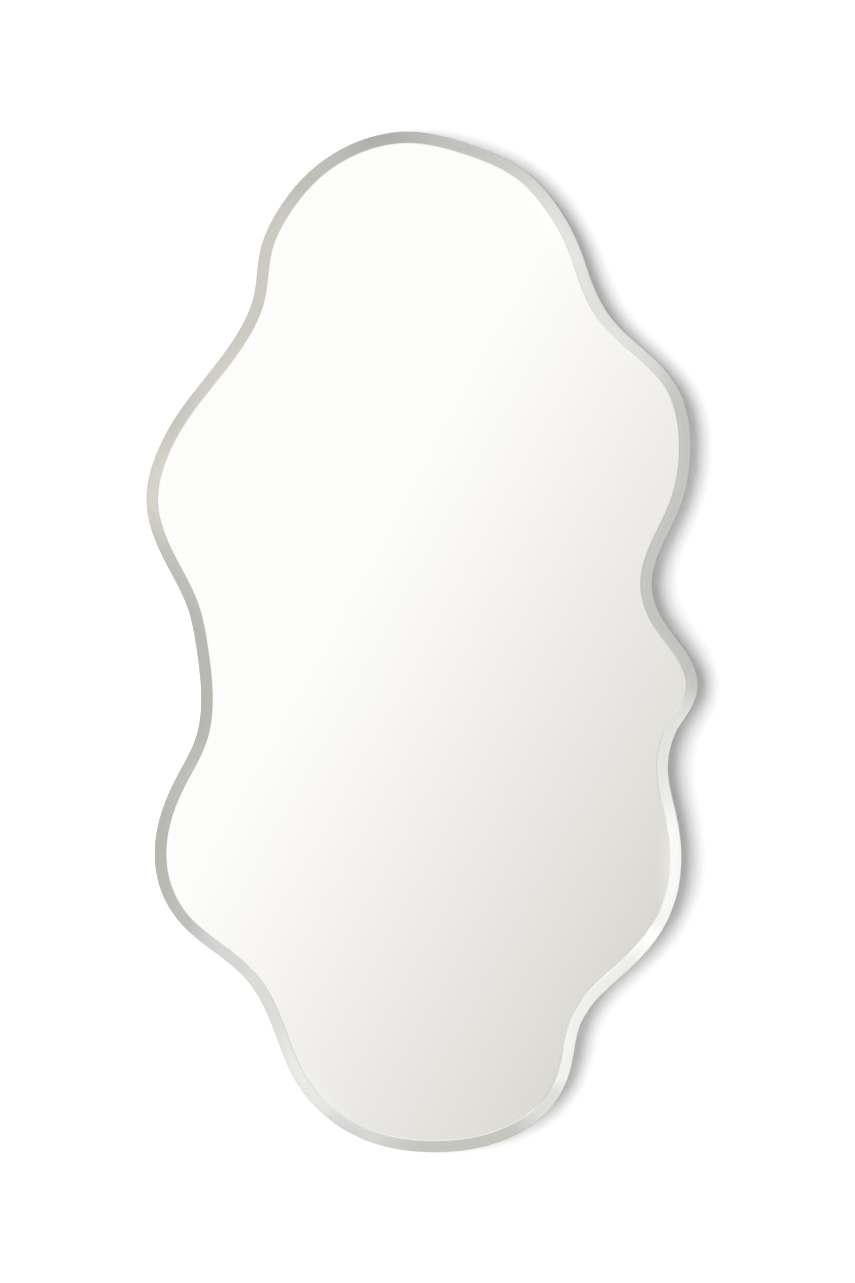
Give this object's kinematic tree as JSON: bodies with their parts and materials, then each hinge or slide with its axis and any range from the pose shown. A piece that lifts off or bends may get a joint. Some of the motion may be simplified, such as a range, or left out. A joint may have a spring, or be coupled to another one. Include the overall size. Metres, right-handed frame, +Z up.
{
  "type": "wall mirror",
  "caption": "Frameless wall mirror with a wavy, uneven outline and a bevelled edge, bonded to a set-back board that hooks onto a wall rail.",
  "frame": {"origin": "middle of the wall rail's back face, on the wall", "axes": "+Z up along the mirror's height, +X to the right as seen from the room, -Y out of the glass into the room, +Y into the wall"},
  "size_m": [0.595, 0.0245, 1.1003],
  "materials": {
    "float_glass": "clear, polished and bevelled edge",
    "silver": "mirror",
    "backing_paint": "matt grey paint",
    "safety_film": "satin film with a fine woven scrim",
    "foam_tape": "closed-cell foam",
    "mastic": "cured mastic",
    "mdf": "sanded board with sealed dark edges",
    "anodised_aluminium": "satin anodised extrusion",
    "zinc_plated_steel": "bright zinc plate",
    "nylon": "moulded black nylon",
    "bumper_rubber": "matt moulded rubber"
  },
  "bodies": {
    "wall_fixing": {"wall_rail": "anodised_aluminium"},
    "hung_mirror": {"mirror_glass": "float_glass", "silver_coating": "silver", "protective_paint": "backing_paint", "safety_film": "safety_film", "foam_tape_left": "foam_tape", "foam_tape_centre": "foam_tape", "foam_tape_right": "foam_tape", "mastic_beads": "mastic", "back_board": "mdf", "hanging_rail": "anodised_aluminium", "hanging_rail_screws": "zinc_plated_steel", "rail_stop_left": "nylon", "rail_stop_right": "nylon", "rail_stop_screws": "zinc_plated_steel", "bumper_lower_left": "bumper_rubber", "bumper_lower_right": "bumper_rubber", "bumper_middle_left": "bumper_rubber", "bumper_middle_right": "bumper_rubber", "bumper_washers": "zinc_plated_steel", "bumper_screws": "zinc_plated_steel"}
  },
  "joints": [
    {"name": "lift_off", "type": "slide", "parent": "wall_fixing", "child": "hung_mirror", "axis": [0, 0, 1], "range_m": [0, 0.0137]}
  ]
}
